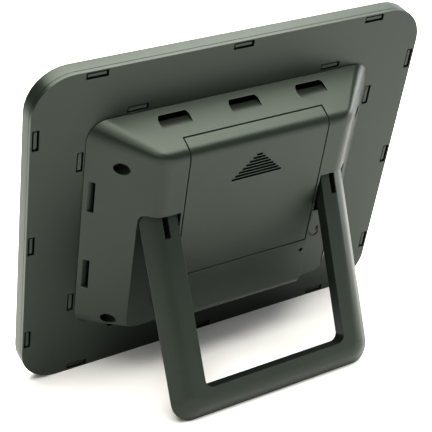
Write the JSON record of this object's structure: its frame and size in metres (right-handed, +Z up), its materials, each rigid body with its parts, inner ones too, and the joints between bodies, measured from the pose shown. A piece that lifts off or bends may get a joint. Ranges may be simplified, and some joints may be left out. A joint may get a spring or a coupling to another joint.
{
  "type": "digital photo frame",
  "caption": "Tabletop digital photo frame with a flat rounded plate, a raised rear housing with a slide-off battery door, and a fold-out U-shaped stand.",
  "frame": {"origin": "bottom centre of the bounding box, on the surface the frame stands on, with the stand open", "axes": "+Z up, +X along the plate, -Y the way the screen faces, the plate leaning back by 15.7 degrees"},
  "size_m": [0.2048, 0.0846, 0.1723],
  "materials": {
    "casing": "fine satin texture, dark green-grey moulded plastic",
    "screen": "dark polarising film, semi-gloss",
    "foam": "matte closed-cell foam",
    "backlight": "satin sheet",
    "board": "green solder mask",
    "chip": "matte moulded",
    "socket": "bright stamped steel",
    "moulded": "black, smooth",
    "ribbon": "amber film",
    "battery": "shrink film, satin",
    "steel": "plated"
  },
  "bodies": {
    "case": {"front_bezel": "casing", "lcd_gasket": "foam", "lcd_panel": "screen", "backlight_unit": "backlight", "lcd_retainer": "casing", "back_plate": "casing", "rear_housing": "casing", "battery_pack": "battery", "battery_contacts": "moulded", "main_board": "board", "processor": "chip", "memory_chip": "chip", "flash_chip": "chip", "choke_coil": "moulded", "card_socket": "socket", "usb_socket": "socket", "power_jack": "moulded", "power_switch": "socket", "reset_switch": "socket", "ribbon_connector": "moulded", "lcd_ribbon": "ribbon", "case_screw_1": "steel", "case_screw_2": "steel", "case_screw_3": "steel", "case_screw_4": "steel", "board_screw_1": "steel", "board_screw_2": "steel", "board_screw_3": "steel", "board_screw_4": "steel"},
    "stand": {"stand": "casing", "hinge_pin_left": "steel", "hinge_pin_right": "steel", "hinge_washer_left": "moulded", "hinge_washer_right": "moulded"},
    "battery_door": {"battery_door": "casing"},
    "reset_button": {"reset_button": "moulded"},
    "power_switch_knob": {"power_switch_knob": "moulded"}
  },
  "joints": [
    {"name": "stand_fold", "type": "hinge", "parent": "case", "child": "stand", "pos_m": [0, 0.01473, 0.09285], "axis": [-1, 0, 0], "range_deg": [0, 31.5]},
    {"name": "door_slide", "type": "slide", "parent": "case", "child": "battery_door", "axis": [0, 0.2708, 0.9626], "range_m": [0, 0.085]},
    {"name": "reset_press", "type": "slide", "parent": "case", "child": "reset_button", "axis": [0, -0.9626, 0.2708], "range_m": [0, 0.0005], "stiffness_N_per_m": 400},
    {"name": "power_toggle", "type": "slide", "parent": "case", "child": "power_switch_knob", "axis": [1, 0, 0], "range_m": [0, 0.0024]}
  ]
}
